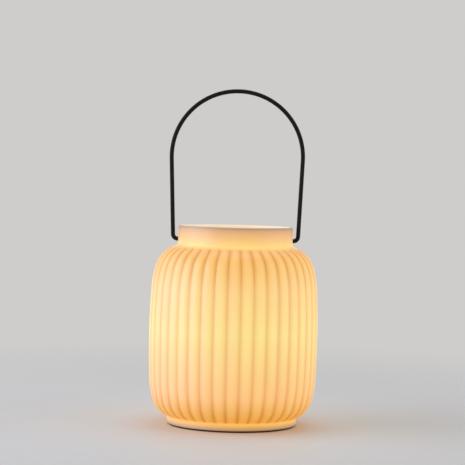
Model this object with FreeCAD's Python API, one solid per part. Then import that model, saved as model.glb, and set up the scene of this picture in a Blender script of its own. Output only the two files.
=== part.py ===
import FreeCAD, Part
import math
import os

from FreeCAD import Vector

# Ribbed porcelain lantern lamp with a wire carrying handle, in millimetres.
# The origin is the centre of the resting face and +Z is up. The handle turns about a line along X,
# and the cable inlet is at the back, on the +Y side.

# ---------------------------------------------------------------- driving dimensions

# Resting pad and foot ring
PAD_THICKNESS = 1.5
PAD_INSET = 2.0
FOOT_RADIUS = 61.5
FOOT_WALL = 5.0
FOOT_HEIGHT = 6.9
FOOT_EDGE_ROUND = 1.2
FOOT_BLEND = 0.8

# Barrel body, measured over the crests of its ribs
WAIST_RADIUS = 80.0
WAIST_RISE = 81.0
BODY_HEIGHT = 161.6
UPPER_BARREL_INSET = 1.3
UPPER_BARREL_DROP = 40.0
SHOULDER_INSET = 4.7
SHOULDER_DROP = 20.5
LOWER_BARREL_INSET = 0.8
LOWER_BARREL_RISE = 37.6
HEEL_INSET = 4.1
HEEL_RISE = 15.6
WALL_THICKNESS = 3.6

# Ribs
RIB_COUNT = 40
RIB_DEPTH = 1.1
RIB_FADE_TOP = 7.0
RIB_FADE_FOOT = 2.5
RIB_END_LEDGE = 0.1

# Neck
NECK_RADIUS = 54.4
NECK_WALL = 4.2
NECK_HEIGHT = 18.5
NECK_BLEND = 1.0
NECK_INSIDE_BLEND = 4.0
LIP_ROUND = 1.5

# Floor of the porcelain, with the space for the cable below it
CABLE_SPACE_HEIGHT = 12.5
FLOOR_THICKNESS = 4.5

# Cable inlet through the foot ring
CABLE_DIAMETER = 4.6
CABLE_CLEARANCE = 0.1
GROMMET_WALL = 1.1
GROMMET_PROUD = 0.8
GROMMET_LIP = 1.0
GROMMET_LIP_THICKNESS = 1.2
INLET_CORNER_ROUND = 1.2

# Carrying handle and its seats in the neck
WIRE_DIAMETER = 4.0
PIVOT_BELOW_RIM = 13.0
HANDLE_LEG_GAP = 4.8
HANDLE_BEND_RADIUS = 4.4
HANDLE_ARCH_RADIUS = 62.2
HANDLE_RISE = 140.8
HANDLE_RUNNING_CLEARANCE = 0.05
BUSH_WALL = 1.2
BUSH_FLANGE = 1.4
BUSH_FLANGE_THICKNESS = 1.0
END_CAP_GAP = 0.4
END_CAP_LENGTH = 5.0
END_CAP_WALL = 1.5
END_CAP_BASE = 1.6
END_CAP_ROUND = 1.0

# Threaded tube, nut and washers that clamp the lampholder to the floor
NIPPLE_DIAMETER = 10.0
NIPPLE_BORE = 7.0
NIPPLE_TAIL = 1.0
NIPPLE_ENGAGEMENT = 4.5
WASHER_BORE_CLEARANCE = 0.2
FLOOR_HOLE_CLEARANCE = 0.4
NUT_ACROSS_FLATS = 14.0
NUT_THICKNESS = 2.8
LOCK_WASHER_THICKNESS = 0.8
LOCK_WASHER_WIDTH = 3.2
LOCK_WASHER_TEETH = 12
LOCK_WASHER_NOTCH = 0.8
CLAMP_WASHER_THICKNESS = 1.2
CLAMP_WASHER_RADIUS = 12.0
FLOOR_WASHER_THICKNESS = 1.5
FLOOR_WASHER_RADIUS = 12.5

# Lampholder for a small screw cap
HOLDER_RADIUS = 13.5
HOLDER_WALL = 1.8
HOLDER_HEIGHT = 36.0
HOLDER_EDGE_ROUND = 1.5
HOLDER_CAP_HEIGHT = 11.0
HOLDER_CAP_BASE = 2.5
HOLDER_BOSS_RADIUS = 6.7
HOLDER_BOSS_HEIGHT = 5.0
HOLDER_LEDGE = 1.0
HOLDER_RIM_LIP = 1.7
HOLDER_RIM_DEPTH = 5.4
INSERT_BASE = 3.0
INSERT_CLEARANCE = 0.1
SHELL_RISE = 2.0
SHELL_THICKNESS = 0.4
SHELL_CLEARANCE = 0.1
SHELL_FLANGE = 3.2
SHELL_FLANGE_THICKNESS = 0.6
CONTACT_THICKNESS = 0.4
CONTACT_WIDTH = 4.0
CONTACT_SPRING_RISE = 1.5
CONTACT_END_GAP = 0.15
CENTRE_CONTACT_RISER_X = 5.8
TERMINAL_SCREW_HEAD_RADIUS = 1.5
TERMINAL_SCREW_HEAD_HEIGHT = 1.4
TERMINAL_SCREW_SHANK_RADIUS = 0.9
TERMINAL_SCREW_SHANK_LENGTH = 4.5
SCREW_SLOT_WIDTH = 0.6
SCREW_SLOT_DEPTH = 0.6

# Globe bulb with a small screw cap
BULB_LENGTH = 78.0
GLOBE_RADIUS = 22.5
GLOBE_WALL = 1.0
GLOBE_OPENING_DROP = 10.5
SCREW_CAP_RADIUS = 6.95
SCREW_CAP_LENGTH = 25.0
SCREW_CAP_WALL = 0.4
SCREW_CAP_TAPER = 1.5
THREAD_PITCH = 2.82
THREAD_DEPTH = 0.5
THREAD_TURNS = 5
THREAD_RUNNING_CLEARANCE = 0.05
CONTACT_BUTTON_RADIUS = 2.4
CONTACT_BUTTON_HEIGHT = 1.0
CONTACT_BUTTON_ROUND = 0.7
INSULATOR_TIP_RADIUS = 3.0
INSULATOR_RADIUS = 5.6
INSULATOR_HEIGHT = 2.5
HOUSING_COLLAR_RADIUS = 7.6
HOUSING_WALL = 1.2
HOUSING_PLUG = 4.0
LED_BOARD_THICKNESS = 1.6
LED_BOARD_SEAT_DEPTH = 2.0
LED_BOARD_SEAT_WIDTH = 1.5
LED_BOARD_CLEARANCE = 0.2
LED_COUNT = 8
LED_SIZE = 3.0
LED_HEIGHT = 0.8
LED_RING_RADIUS = 11.0
DRIVER_WIDTH = 9.0
DRIVER_THICKNESS = 1.2
DRIVER_HEIGHT = 15.0
CAPACITOR_RADIUS = 3.0
CAPACITOR_LENGTH = 7.0
CAPACITOR_DROP = 3.0

# ---------------------------------------------------------------- levels and radii

FOOT_Z = PAD_THICKNESS
BELLY_Z = FOOT_Z + FOOT_HEIGHT
WAIST_Z = BELLY_Z + WAIST_RISE
NECK_Z = BELLY_Z + BODY_HEIGHT
RIM_Z = NECK_Z + NECK_HEIGHT
PIVOT_Z = RIM_Z - PIVOT_BELOW_RIM
FLOOR_UNDERSIDE_Z = FOOT_Z + CABLE_SPACE_HEIGHT
FLOOR_Z = FLOOR_UNDERSIDE_Z + FLOOR_THICKNESS
CLAMP_WASHER_Z = FLOOR_UNDERSIDE_Z - CLAMP_WASHER_THICKNESS
LOCK_WASHER_Z = CLAMP_WASHER_Z - LOCK_WASHER_THICKNESS
NUT_Z = LOCK_WASHER_Z - NUT_THICKNESS
NIPPLE_Z = NUT_Z - NIPPLE_TAIL
HOLDER_Z = FLOOR_Z + FLOOR_WASHER_THICKNESS
HOLDER_JOINT_Z = HOLDER_Z + HOLDER_CAP_HEIGHT
HOLDER_RIM_Z = HOLDER_Z + HOLDER_HEIGHT
SLEEVE_LEDGE_Z = HOLDER_RIM_Z - HOLDER_RIM_DEPTH
BULB_TIP_Z = HOLDER_RIM_Z - SCREW_CAP_LENGTH
CONTACT_FLOOR_Z = BULB_TIP_Z - CONTACT_SPRING_RISE
INSERT_Z = CONTACT_FLOOR_Z - INSERT_BASE
INSERT_TOP_Z = SLEEVE_LEDGE_Z - SHELL_FLANGE_THICKNESS
SHELL_Z = BULB_TIP_Z + SHELL_RISE
INSULATOR_Z = BULB_TIP_Z + CONTACT_BUTTON_HEIGHT
SCREW_CAP_Z = INSULATOR_Z + INSULATOR_HEIGHT
GLOBE_Z = BULB_TIP_Z + BULB_LENGTH - GLOBE_RADIUS
GLOBE_OPENING_Z = GLOBE_Z - GLOBE_OPENING_DROP
LED_BOARD_Z = GLOBE_OPENING_Z - LED_BOARD_SEAT_DEPTH
INLET_Z = FOOT_Z + GROMMET_WALL + CABLE_CLEARANCE + CABLE_DIAMETER / 2

NECK_BORE = NECK_RADIUS - NECK_WALL
FOOT_BORE = FOOT_RADIUS - FOOT_WALL
INLET_BORE = CABLE_DIAMETER / 2 + CABLE_CLEARANCE
INLET_HALF_WIDTH = INLET_BORE + GROMMET_WALL
WIRE_RADIUS = WIRE_DIAMETER / 2
BUSH_BORE = WIRE_RADIUS + HANDLE_RUNNING_CLEARANCE
BUSH_RADIUS = BUSH_BORE + BUSH_WALL
NIPPLE_RADIUS = NIPPLE_DIAMETER / 2
WASHER_BORE = NIPPLE_RADIUS + WASHER_BORE_CLEARANCE
CAP_BORE = HOLDER_RADIUS - HOLDER_WALL
CAP_LEDGE_BORE = CAP_BORE - HOLDER_LEDGE
SHELL_BORE = SCREW_CAP_RADIUS + THREAD_RUNNING_CLEARANCE
SHELL_RADIUS = SHELL_BORE + THREAD_DEPTH + SHELL_THICKNESS
CONTACT_END_X = math.sqrt(CAP_LEDGE_BORE ** 2 - (CONTACT_WIDTH / 2) ** 2) - CONTACT_END_GAP
TERMINAL_X = CONTACT_END_X - TERMINAL_SCREW_HEAD_RADIUS
GLOBE_OPENING_RADIUS = math.sqrt(GLOBE_RADIUS ** 2 - GLOBE_OPENING_DROP ** 2)

END_CAP_OUTER_X = NECK_BORE - BUSH_FLANGE_THICKNESS - END_CAP_GAP
END_CAP_INNER_X = END_CAP_OUTER_X - END_CAP_LENGTH
WIRE_END_X = END_CAP_INNER_X + END_CAP_BASE


# ---------------------------------------------------------------- shape helpers

def point_at(spot):
    """Point in the XZ plane from a (radius, height) pair."""
    return Vector(spot[0], 0, spot[1])


def line(start, end):
    """Straight edge between two (radius, height) pairs."""
    return Part.LineSegment(point_at(start), point_at(end)).toShape()


def arc(start, middle, end):
    """Arc edge through three (radius, height) pairs."""
    return Part.Arc(point_at(start), point_at(middle), point_at(end)).toShape()


def lines(*corners):
    """Straight edges from corner to corner."""
    return [line(start, end) for start, end in zip(corners, corners[1:])]


def round_corner(start, corner, end):
    """Quarter circle in place of a square corner, from start to end."""
    centre = (start[0] + end[0] - corner[0], start[1] + end[1] - corner[1])
    middle = [centre[i] + (corner[i] - centre[i]) * math.sqrt(0.5) for i in (0, 1)]
    return arc(start, middle, end)


def turned(edges):
    """Solid made by turning a closed loop of edges in the XZ plane about the Z axis."""
    face = Part.Face(Part.Wire(Part.sortEdges(edges)[0]))
    return face.revolve(Vector(0, 0, 0), Vector(0, 0, 1), 360)


def turned_outline(*corners):
    """Solid made by turning a closed outline with straight sides about the Z axis."""
    return turned(lines(*corners, corners[0]))


def disc(radius, thickness, bottom_z):
    """Upright cylinder about the Z axis."""
    return Part.makeCylinder(radius, thickness, Vector(0, 0, bottom_z))


def ring(outer_radius, inner_radius, thickness, bottom_z):
    """Flat ring about the Z axis."""
    return disc(outer_radius, thickness, bottom_z).cut(disc(inner_radius, thickness, bottom_z))


def rod_along_x(radius, from_x, to_x, height):
    """Cylinder parallel to X at a height over the origin."""
    return Part.makeCylinder(radius, to_x - from_x, Vector(from_x, 0, height), Vector(1, 0, 0))


def box_between(low, high):
    """Box from its lowest corner to its highest."""
    sides = [high[i] - low[i] for i in range(3)]
    return Part.makeBox(*sides, Vector(*low))


def on_other_side(shape):
    """The shape mirrored to the other side of the YZ plane."""
    return shape.mirror(Vector(0, 0, 0), Vector(1, 0, 0))


def eased(share):
    """Smooth step from 0 to 1."""
    share = max(0.0, min(1.0, share))
    return share * share * (3 - 2 * share)


# ---------------------------------------------------------------- outline of the barrel body

BISECTIONS = 40


class OutlineArc:
    """Arc of the half outline that leaves start along a heading and reaches end."""

    def __init__(self, start, heading, end):
        chord_heading = math.atan2(end[1] - start[1], end[0] - start[0])
        turn = 2 * (chord_heading - heading)
        self.heading = heading
        self.turn = (turn + math.pi) % (2 * math.pi) - math.pi
        self.radius = math.dist(start, end) / (2 * math.sin(self.turn / 2))
        self.centre = (
            start[0] - self.radius * math.sin(heading),
            start[1] + self.radius * math.cos(heading),
        )

    def end_heading(self):
        return self.heading + self.turn

    def point(self, share, inset=0.0):
        """Point at a share of the arc's length, moved by inset towards the arc's centre."""
        heading = self.heading + self.turn * share
        reach = self.radius - math.copysign(inset, self.radius)
        return (
            self.centre[0] + reach * math.sin(heading),
            self.centre[1] - reach * math.cos(heading),
        )

    def edge(self, inset=0.0, last_share=1.0):
        """Edge along the arc up to a share of it, moved by inset towards the arc's centre."""
        return arc(*(self.point(share, inset) for share in (0.0, last_share / 2, last_share)))

    def share_at_height(self, height, inset):
        """Share at which the arc, moved by inset towards its centre, reaches a height."""
        low, high = 0.0, 1.0
        for _ in range(BISECTIONS):
            middle = (low + high) / 2
            same_side = (self.point(middle, inset)[1] > height) == (self.point(0.0, inset)[1] > height)
            low, high = (middle, high) if same_side else (low, middle)
        return low


def outline_chain(points, heading):
    """Arcs through the points, each leaving along the heading at which the last one ended."""
    chain = []
    for start, end in zip(points, points[1:]):
        chain.append(OutlineArc(start, heading, end))
        heading = chain[-1].end_heading()
    return chain


WAIST_POINT = (WAIST_RADIUS, WAIST_Z)
NECK_POINT = (NECK_RADIUS + NECK_BLEND, NECK_Z)
FOOT_POINT = (FOOT_RADIUS + FOOT_BLEND, BELLY_Z)

UPPER_ARCS = outline_chain(
    [
        WAIST_POINT,
        (WAIST_RADIUS - UPPER_BARREL_INSET, NECK_Z - UPPER_BARREL_DROP),
        (WAIST_RADIUS - SHOULDER_INSET, NECK_Z - SHOULDER_DROP),
        NECK_POINT,
    ],
    math.pi / 2,
)
LOWER_ARCS = outline_chain(
    [
        WAIST_POINT,
        (WAIST_RADIUS - LOWER_BARREL_INSET, BELLY_Z + LOWER_BARREL_RISE),
        (WAIST_RADIUS - HEEL_INSET, BELLY_Z + HEEL_RISE),
        FOOT_POINT,
    ],
    -math.pi / 2,
)
# Cross-sections of the ribbed wall per arc, from the waist outwards; the last arc is the tightest.
SECTIONS_PER_ARC = (3, 3, 8)
ARCS_PER_RIB = 2


def blend_height(radial_width, heading):
    """Height of a concave blend of that radial width, from a surface's heading to upright."""
    slope = abs(math.pi - heading % (2 * math.pi))
    return radial_width * math.tan(math.pi / 4 + slope / 2)


# ---------------------------------------------------------------- porcelain shade

def ribbed_section(outline_arc, share):
    """Closed ring of bulging ribs at one place along the outline, each rib in a few short arcs."""
    crest = outline_arc.point(share)
    fade_top = eased(math.dist(crest, NECK_POINT) / RIB_FADE_TOP)
    fade_foot = eased(math.dist(crest, FOOT_POINT) / RIB_FADE_FOOT)
    groove = outline_arc.point(share, RIB_DEPTH * fade_top * fade_foot)
    half_pitch = math.pi / RIB_COUNT
    rib = Part.Arc(
        Vector(groove[0] * math.cos(half_pitch), -groove[0] * math.sin(half_pitch), groove[1]),
        Vector(crest[0], 0, crest[1]),
        Vector(groove[0] * math.cos(half_pitch), groove[0] * math.sin(half_pitch), groove[1]),
    ).toShape()
    first, last = rib.ParameterRange
    step = (last - first) / ARCS_PER_RIB
    edges = []
    for number in range(RIB_COUNT):
        for piece in range(ARCS_PER_RIB):
            edge = rib.Curve.toShape(first + piece * step, first + (piece + 1) * step)
            edge.rotate(Vector(0, 0, 0), Vector(0, 0, 1), 360 * number / RIB_COUNT - 90)
            edges.append(edge)
    return Part.Wire(edges)


def ribbed_sections():
    """Rings of ribs from the foot ring up to the neck."""
    places = []
    for outline_arc, count in reversed(list(zip(LOWER_ARCS, SECTIONS_PER_ARC))):
        places += [(outline_arc, 1 - step / count) for step in range(count)]
    for outline_arc, count in zip(UPPER_ARCS, SECTIONS_PER_ARC):
        places += [(outline_arc, step / count) for step in range(count)]
    places.append((UPPER_ARCS[-1], 1.0))
    return [ribbed_section(*place) for place in places]


def rib_end_ledge(section, radius, height):
    """Narrow flat ring between the ends of the ribs and the plain round part next to them."""
    inner_ring = Part.Wire(Part.Circle(Vector(0, 0, height), Vector(0, 0, 1), radius).toShape())
    return Part.makeFace([section, inner_ring], "Part::FaceMakerBullseye")


def neck_outline():
    """Edges from the end of the ribs up the neck and over its lip to the bore."""
    heading = UPPER_ARCS[-1].end_heading()
    start = (NECK_POINT[0] - RIB_END_LEDGE, NECK_Z)
    blend_top = (NECK_RADIUS, NECK_Z + blend_height(start[0] - NECK_RADIUS, heading))
    lip = min(LIP_ROUND, 0.45 * NECK_WALL)
    outer_start = (NECK_RADIUS, RIM_Z - lip)
    outer_end = (NECK_RADIUS - lip, RIM_Z)
    inner_start = (NECK_BORE + lip, RIM_Z)
    inner_end = (NECK_BORE, RIM_Z - lip)
    return [
        OutlineArc(start, heading, blend_top).edge(),
        line(blend_top, outer_start),
        round_corner(outer_start, (NECK_RADIUS, RIM_Z), outer_end),
        line(outer_end, inner_start),
        round_corner(inner_start, (NECK_BORE, RIM_Z), inner_end),
    ]


def lower_inner_wall(inset):
    """Edges of the inner wall from the waist down to the floor, and the place they reach."""
    edges = []
    for outline_arc in LOWER_ARCS:
        share = outline_arc.share_at_height(FLOOR_Z, inset)
        edges.append(outline_arc.edge(inset, share))
        if outline_arc.point(1.0, inset)[1] < FLOOR_Z:
            break
    return edges, outline_arc.point(share, inset)


def cavity_outline():
    """Edges down from the neck's lip, inside the barrel, to the floor and its cable hole."""
    inset = RIB_DEPTH + WALL_THICKNESS
    lip = min(LIP_ROUND, 0.45 * NECK_WALL)
    shoulder_top = UPPER_ARCS[-1].point(1.0, inset)
    bore_end = (NECK_BORE, shoulder_top[1] + NECK_INSIDE_BLEND)
    bore_blend = OutlineArc(shoulder_top, UPPER_ARCS[-1].end_heading(), bore_end)
    lower_wall, floor_corner = lower_inner_wall(inset)
    hole_radius = NIPPLE_RADIUS + FLOOR_HOLE_CLEARANCE
    return (
        [line((NECK_BORE, RIM_Z - lip), bore_end), bore_blend.edge()]
        + [outline_arc.edge(inset) for outline_arc in reversed(UPPER_ARCS)]
        + lower_wall
        + lines(floor_corner, (hole_radius, FLOOR_Z), (hole_radius, FLOOR_UNDERSIDE_Z))
    )


def foot_outline():
    """Edges from the cable hole under the floor, round the foot ring to the end of the ribs."""
    heading = LOWER_ARCS[-1].end_heading()
    start = (FOOT_POINT[0] - RIB_END_LEDGE, BELLY_Z)
    blend_end = (FOOT_RADIUS, BELLY_Z - blend_height(start[0] - FOOT_RADIUS, heading))
    edge_start = (FOOT_RADIUS, FOOT_Z + FOOT_EDGE_ROUND)
    edge_end = (FOOT_RADIUS - FOOT_EDGE_ROUND, FOOT_Z)
    return (
        lines(
            (NIPPLE_RADIUS + FLOOR_HOLE_CLEARANCE, FLOOR_UNDERSIDE_Z),
            (FOOT_BORE, FLOOR_UNDERSIDE_Z),
            (FOOT_BORE, FOOT_Z),
            edge_end,
        )
        + [round_corner(edge_end, (FOOT_RADIUS, FOOT_Z), edge_start)]
        + [line(edge_start, blend_end), OutlineArc(start, heading, blend_end).edge()]
    )


def inlet_tunnel(half_width, from_y, to_y):
    """Square prism around the cable inlet's line, on the foot's lower face, with a rounded top."""
    block = box_between((-half_width, from_y, FOOT_Z), (half_width, to_y, INLET_Z + half_width))
    top_edges = [
        edge
        for edge in block.Edges
        if edge.BoundBox.ZMin > INLET_Z and edge.BoundBox.YLength > edge.BoundBox.XLength
    ]
    return block.makeFillet(INLET_CORNER_ROUND, top_edges)


def porcelain_shade():
    """Translucent shade with its ribs, neck, floor, foot ring and openings, in one piece."""
    sections = ribbed_sections()
    barrel = Part.makeLoft(sections, False, False)
    plain = Part.Wire(Part.sortEdges(neck_outline() + cavity_outline() + foot_outline())[0])
    plain = plain.revolve(Vector(0, 0, 0), Vector(0, 0, 1), 360)
    ledges = [
        rib_end_ledge(sections[0], FOOT_POINT[0] - RIB_END_LEDGE, BELLY_Z),
        rib_end_ledge(sections[-1], NECK_POINT[0] - RIB_END_LEDGE, NECK_Z),
    ]
    skin = Part.makeShell(barrel.Faces + plain.Faces + ledges)
    skin.sewShape()
    shade = Part.makeSolid(skin)
    openings = [
        rod_along_x(BUSH_RADIUS, -WAIST_RADIUS, WAIST_RADIUS, PIVOT_Z),
        inlet_tunnel(INLET_HALF_WIDTH, FOOT_BORE - FOOT_WALL, FOOT_RADIUS + FOOT_WALL),
    ]
    return shade.cut(openings)


def base_pad():
    """Soft disc glued under the foot ring, which also closes the cable space."""
    return disc(FOOT_RADIUS - PAD_INSET, PAD_THICKNESS, 0)


def cable_grommet():
    """Rubber inlet in the foot ring's notch, with a lip on the inner side."""
    outer_radius = FOOT_RADIUS + GROMMET_PROUD
    lip_radius = FOOT_BORE - GROMMET_LIP_THICKNESS
    height = CABLE_SPACE_HEIGHT
    reach = (FOOT_BORE - FOOT_WALL, FOOT_RADIUS + FOOT_WALL)
    body = inlet_tunnel(INLET_HALF_WIDTH, *reach)
    body = body.common(ring(outer_radius, FOOT_BORE, height, FOOT_Z))
    lip = inlet_tunnel(INLET_HALF_WIDTH + GROMMET_LIP, *reach)
    lip = lip.common(ring(FOOT_BORE, lip_radius, height, FOOT_Z))
    start = Vector(0, reach[0], INLET_Z)
    bore = Part.makeCylinder(INLET_BORE, reach[1] - reach[0], start, Vector(0, 1, 0))
    return body.fuse(lip).cut(bore)


# ---------------------------------------------------------------- carrying handle

def handle_half_path():
    """Edges of the handle's centre line on the +X side, from the hooked end to the crown."""
    arch_z = PIVOT_Z + HANDLE_RISE - HANDLE_ARCH_RADIUS
    corner = (NECK_RADIUS + HANDLE_LEG_GAP, PIVOT_Z)
    to_corner = math.atan2(corner[1] - arch_z, corner[0])
    reach = math.dist(corner, (0, arch_z))
    arch_start_angle = to_corner + math.acos(HANDLE_ARCH_RADIUS / reach)
    leg_heading = arch_start_angle + math.pi / 2

    half_opening = (math.pi - leg_heading) / 2
    to_bend = HANDLE_BEND_RADIUS / math.tan(half_opening)
    bend_start = (corner[0] - to_bend, PIVOT_Z)
    bend_end = (
        corner[0] + to_bend * math.cos(leg_heading),
        corner[1] + to_bend * math.sin(leg_heading),
    )
    bisector = leg_heading + half_opening
    to_middle = HANDLE_BEND_RADIUS / math.sin(half_opening) - HANDLE_BEND_RADIUS
    bend_middle = (
        corner[0] + to_middle * math.cos(bisector),
        corner[1] + to_middle * math.sin(bisector),
    )

    def on_arch(angle):
        return (
            HANDLE_ARCH_RADIUS * math.cos(angle),
            arch_z + HANDLE_ARCH_RADIUS * math.sin(angle),
        )

    arch_start = on_arch(arch_start_angle)
    arch_middle = on_arch((arch_start_angle + math.pi / 2) / 2)
    crown = on_arch(math.pi / 2)
    return [
        line((WIRE_END_X, PIVOT_Z), bend_start),
        arc(bend_start, bend_middle, bend_end),
        line(bend_end, arch_start),
        arc(arch_start, arch_middle, crown),
    ]


def bail_handle():
    """Round wire bent to an arch whose two hooked ends enter the neck."""
    half = handle_half_path()
    other_half = [on_other_side(edge) for edge in reversed(half)]
    centre_line = Part.Wire(Part.sortEdges(half + other_half)[0])
    section = Part.Circle(Vector(WIRE_END_X, 0, PIVOT_Z), Vector(1, 0, 0), WIRE_RADIUS)
    return centre_line.makePipeShell([Part.Wire(section.toShape())], True, False)


def bail_bush():
    """Flanged sleeve in the neck's hole on the +X side, its faces following the round neck."""
    flange_radius = BUSH_RADIUS + BUSH_FLANGE
    tall = 2 * flange_radius
    low = PIVOT_Z - flange_radius
    flange_x = NECK_BORE - BUSH_FLANGE_THICKNESS
    barrel = rod_along_x(BUSH_RADIUS, flange_x, WAIST_RADIUS, PIVOT_Z)
    barrel = barrel.common(disc(NECK_RADIUS, tall, low))
    flange = rod_along_x(flange_radius, flange_x, WAIST_RADIUS, PIVOT_Z)
    flange = flange.common(disc(NECK_BORE, tall, low))
    return barrel.fuse(flange).cut(rod_along_x(BUSH_BORE, 0, WAIST_RADIUS, PIVOT_Z))


def bail_end_cap():
    """Push-on cap over the wire's end inside the neck, on the +X side."""
    radius = WIRE_RADIUS + END_CAP_WALL
    cap = rod_along_x(radius, END_CAP_INNER_X, END_CAP_OUTER_X, PIVOT_Z)
    closed_end = min(cap.Edges, key=lambda edge: edge.BoundBox.XMax)
    cap = cap.makeFillet(END_CAP_ROUND, [closed_end])
    return cap.cut(rod_along_x(WIRE_RADIUS, WIRE_END_X, END_CAP_OUTER_X, PIVOT_Z))


# ---------------------------------------------------------------- lampholder fixing

def threaded_nipple():
    """Threaded tube through the floor, which carries the lampholder and passes the cable."""
    top_z = HOLDER_Z + NIPPLE_ENGAGEMENT
    return ring(NIPPLE_RADIUS, NIPPLE_BORE / 2, top_z - NIPPLE_Z, NIPPLE_Z)


def nipple_nut():
    """Thin hexagon nut under the floor."""
    corner_radius = NUT_ACROSS_FLATS / 2 / math.cos(math.pi / 6)
    corners = [
        Vector(
            corner_radius * math.cos(math.pi / 3 * side),
            corner_radius * math.sin(math.pi / 3 * side),
            NUT_Z,
        )
        for side in range(6)
    ]
    hexagon = Part.Face(Part.makePolygon(corners + corners[:1]))
    block = hexagon.extrude(Vector(0, 0, NUT_THICKNESS))
    return block.cut(disc(NIPPLE_RADIUS, NUT_THICKNESS, NUT_Z))


def lock_washer():
    """Toothed washer between the nut and the flat washer."""
    radius = WASHER_BORE + LOCK_WASHER_WIDTH
    washer = ring(radius, WASHER_BORE, LOCK_WASHER_THICKNESS, LOCK_WASHER_Z)
    notches = []
    for tooth in range(LOCK_WASHER_TEETH):
        angle = 2 * math.pi * tooth / LOCK_WASHER_TEETH
        place = Vector(radius * math.cos(angle), radius * math.sin(angle), LOCK_WASHER_Z)
        notches.append(Part.makeCylinder(LOCK_WASHER_NOTCH, LOCK_WASHER_THICKNESS, place))
    return washer.cut(notches)


def clamp_washer():
    """Flat steel washer against the underside of the floor."""
    return ring(CLAMP_WASHER_RADIUS, WASHER_BORE, CLAMP_WASHER_THICKNESS, CLAMP_WASHER_Z)


def floor_washer():
    """Rubber washer between the floor and the lampholder."""
    return ring(FLOOR_WASHER_RADIUS, WASHER_BORE, FLOOR_WASHER_THICKNESS, FLOOR_Z)


# ---------------------------------------------------------------- lampholder

def thread_wave(radius, bottom_z):
    """Edges up a wall whose thread bulges outwards once per turn, and the wall's top place."""
    edges = []
    for turn in range(THREAD_TURNS):
        low = bottom_z + turn * THREAD_PITCH
        middle = low + THREAD_PITCH / 4
        high = low + THREAD_PITCH / 2
        edges.append(arc((radius, low), (radius + THREAD_DEPTH, middle), (radius, high)))
        edges.append(line((radius, high), (radius, low + THREAD_PITCH)))
    return edges, (radius, bottom_z + THREAD_TURNS * THREAD_PITCH)


def holder_cap():
    """Lower cup of the lampholder, screwed onto the threaded tube."""
    round_start = (HOLDER_RADIUS - HOLDER_EDGE_ROUND, HOLDER_Z)
    round_end = (HOLDER_RADIUS, HOLDER_Z + HOLDER_EDGE_ROUND)
    return turned(
        [line((NIPPLE_RADIUS, HOLDER_Z), round_start)]
        + [round_corner(round_start, (HOLDER_RADIUS, HOLDER_Z), round_end)]
        + lines(
            round_end,
            (HOLDER_RADIUS, HOLDER_JOINT_Z),
            (CAP_BORE, HOLDER_JOINT_Z),
            (CAP_BORE, INSERT_Z),
            (CAP_LEDGE_BORE, INSERT_Z),
            (CAP_LEDGE_BORE, HOLDER_Z + HOLDER_CAP_BASE),
            (HOLDER_BOSS_RADIUS, HOLDER_Z + HOLDER_CAP_BASE),
            (HOLDER_BOSS_RADIUS, HOLDER_Z + HOLDER_BOSS_HEIGHT),
            (NIPPLE_RADIUS, HOLDER_Z + HOLDER_BOSS_HEIGHT),
            (NIPPLE_RADIUS, HOLDER_Z),
        )
    )


def holder_sleeve():
    """Upper sleeve of the lampholder, whose inward lip holds the insert down."""
    lip_bore = CAP_BORE - HOLDER_RIM_LIP
    round_start = (HOLDER_RADIUS, HOLDER_RIM_Z - HOLDER_EDGE_ROUND)
    round_end = (HOLDER_RADIUS - HOLDER_EDGE_ROUND, HOLDER_RIM_Z)
    return turned(
        lines((CAP_BORE, HOLDER_JOINT_Z), (HOLDER_RADIUS, HOLDER_JOINT_Z), round_start)
        + [round_corner(round_start, (HOLDER_RADIUS, HOLDER_RIM_Z), round_end)]
        + lines(
            round_end,
            (lip_bore, HOLDER_RIM_Z),
            (lip_bore, SLEEVE_LEDGE_Z),
            (CAP_BORE, SLEEVE_LEDGE_Z),
            (CAP_BORE, HOLDER_JOINT_Z),
        )
    )


def thread_shell():
    """Metal screw shell that takes the bulb's cap, flanged at the top."""
    outer_radius = SHELL_BORE + SHELL_THICKNESS
    inner_wall, inner_top = thread_wave(SHELL_BORE, SHELL_Z)
    outer_wall, outer_top = thread_wave(outer_radius, SHELL_Z)
    return turned(
        inner_wall
        + outer_wall
        + [line((SHELL_BORE, SHELL_Z), (outer_radius, SHELL_Z))]
        + lines(
            inner_top,
            (SHELL_BORE, SLEEVE_LEDGE_Z),
            (SHELL_RADIUS + SHELL_FLANGE, SLEEVE_LEDGE_Z),
            (SHELL_RADIUS + SHELL_FLANGE, INSERT_TOP_Z),
            (outer_radius, INSERT_TOP_Z),
            outer_top,
        )
    )


def bent_strip(places):
    """Metal strip whose mid line runs through (x, height) places, with its width along Y."""
    headings = [
        math.atan2(end[1] - start[1], end[0] - start[0]) for start, end in zip(places, places[1:])
    ]
    upper = []
    lower = []
    for index, place in enumerate(places):
        before = headings[max(index - 1, 0)]
        after = headings[min(index, len(headings) - 1)]
        mitre = (before + after) / 2
        reach = CONTACT_THICKNESS / 2 / math.cos((after - before) / 2)
        step = Vector(-reach * math.sin(mitre), 0, reach * math.cos(mitre))
        middle = Vector(place[0], -CONTACT_WIDTH / 2, place[1])
        upper.append(middle + step)
        lower.append(middle - step)
    corners = upper + lower[::-1]
    face = Part.Face(Part.makePolygon(corners + corners[:1]))
    return face.extrude(Vector(0, CONTACT_WIDTH, 0))


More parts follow.
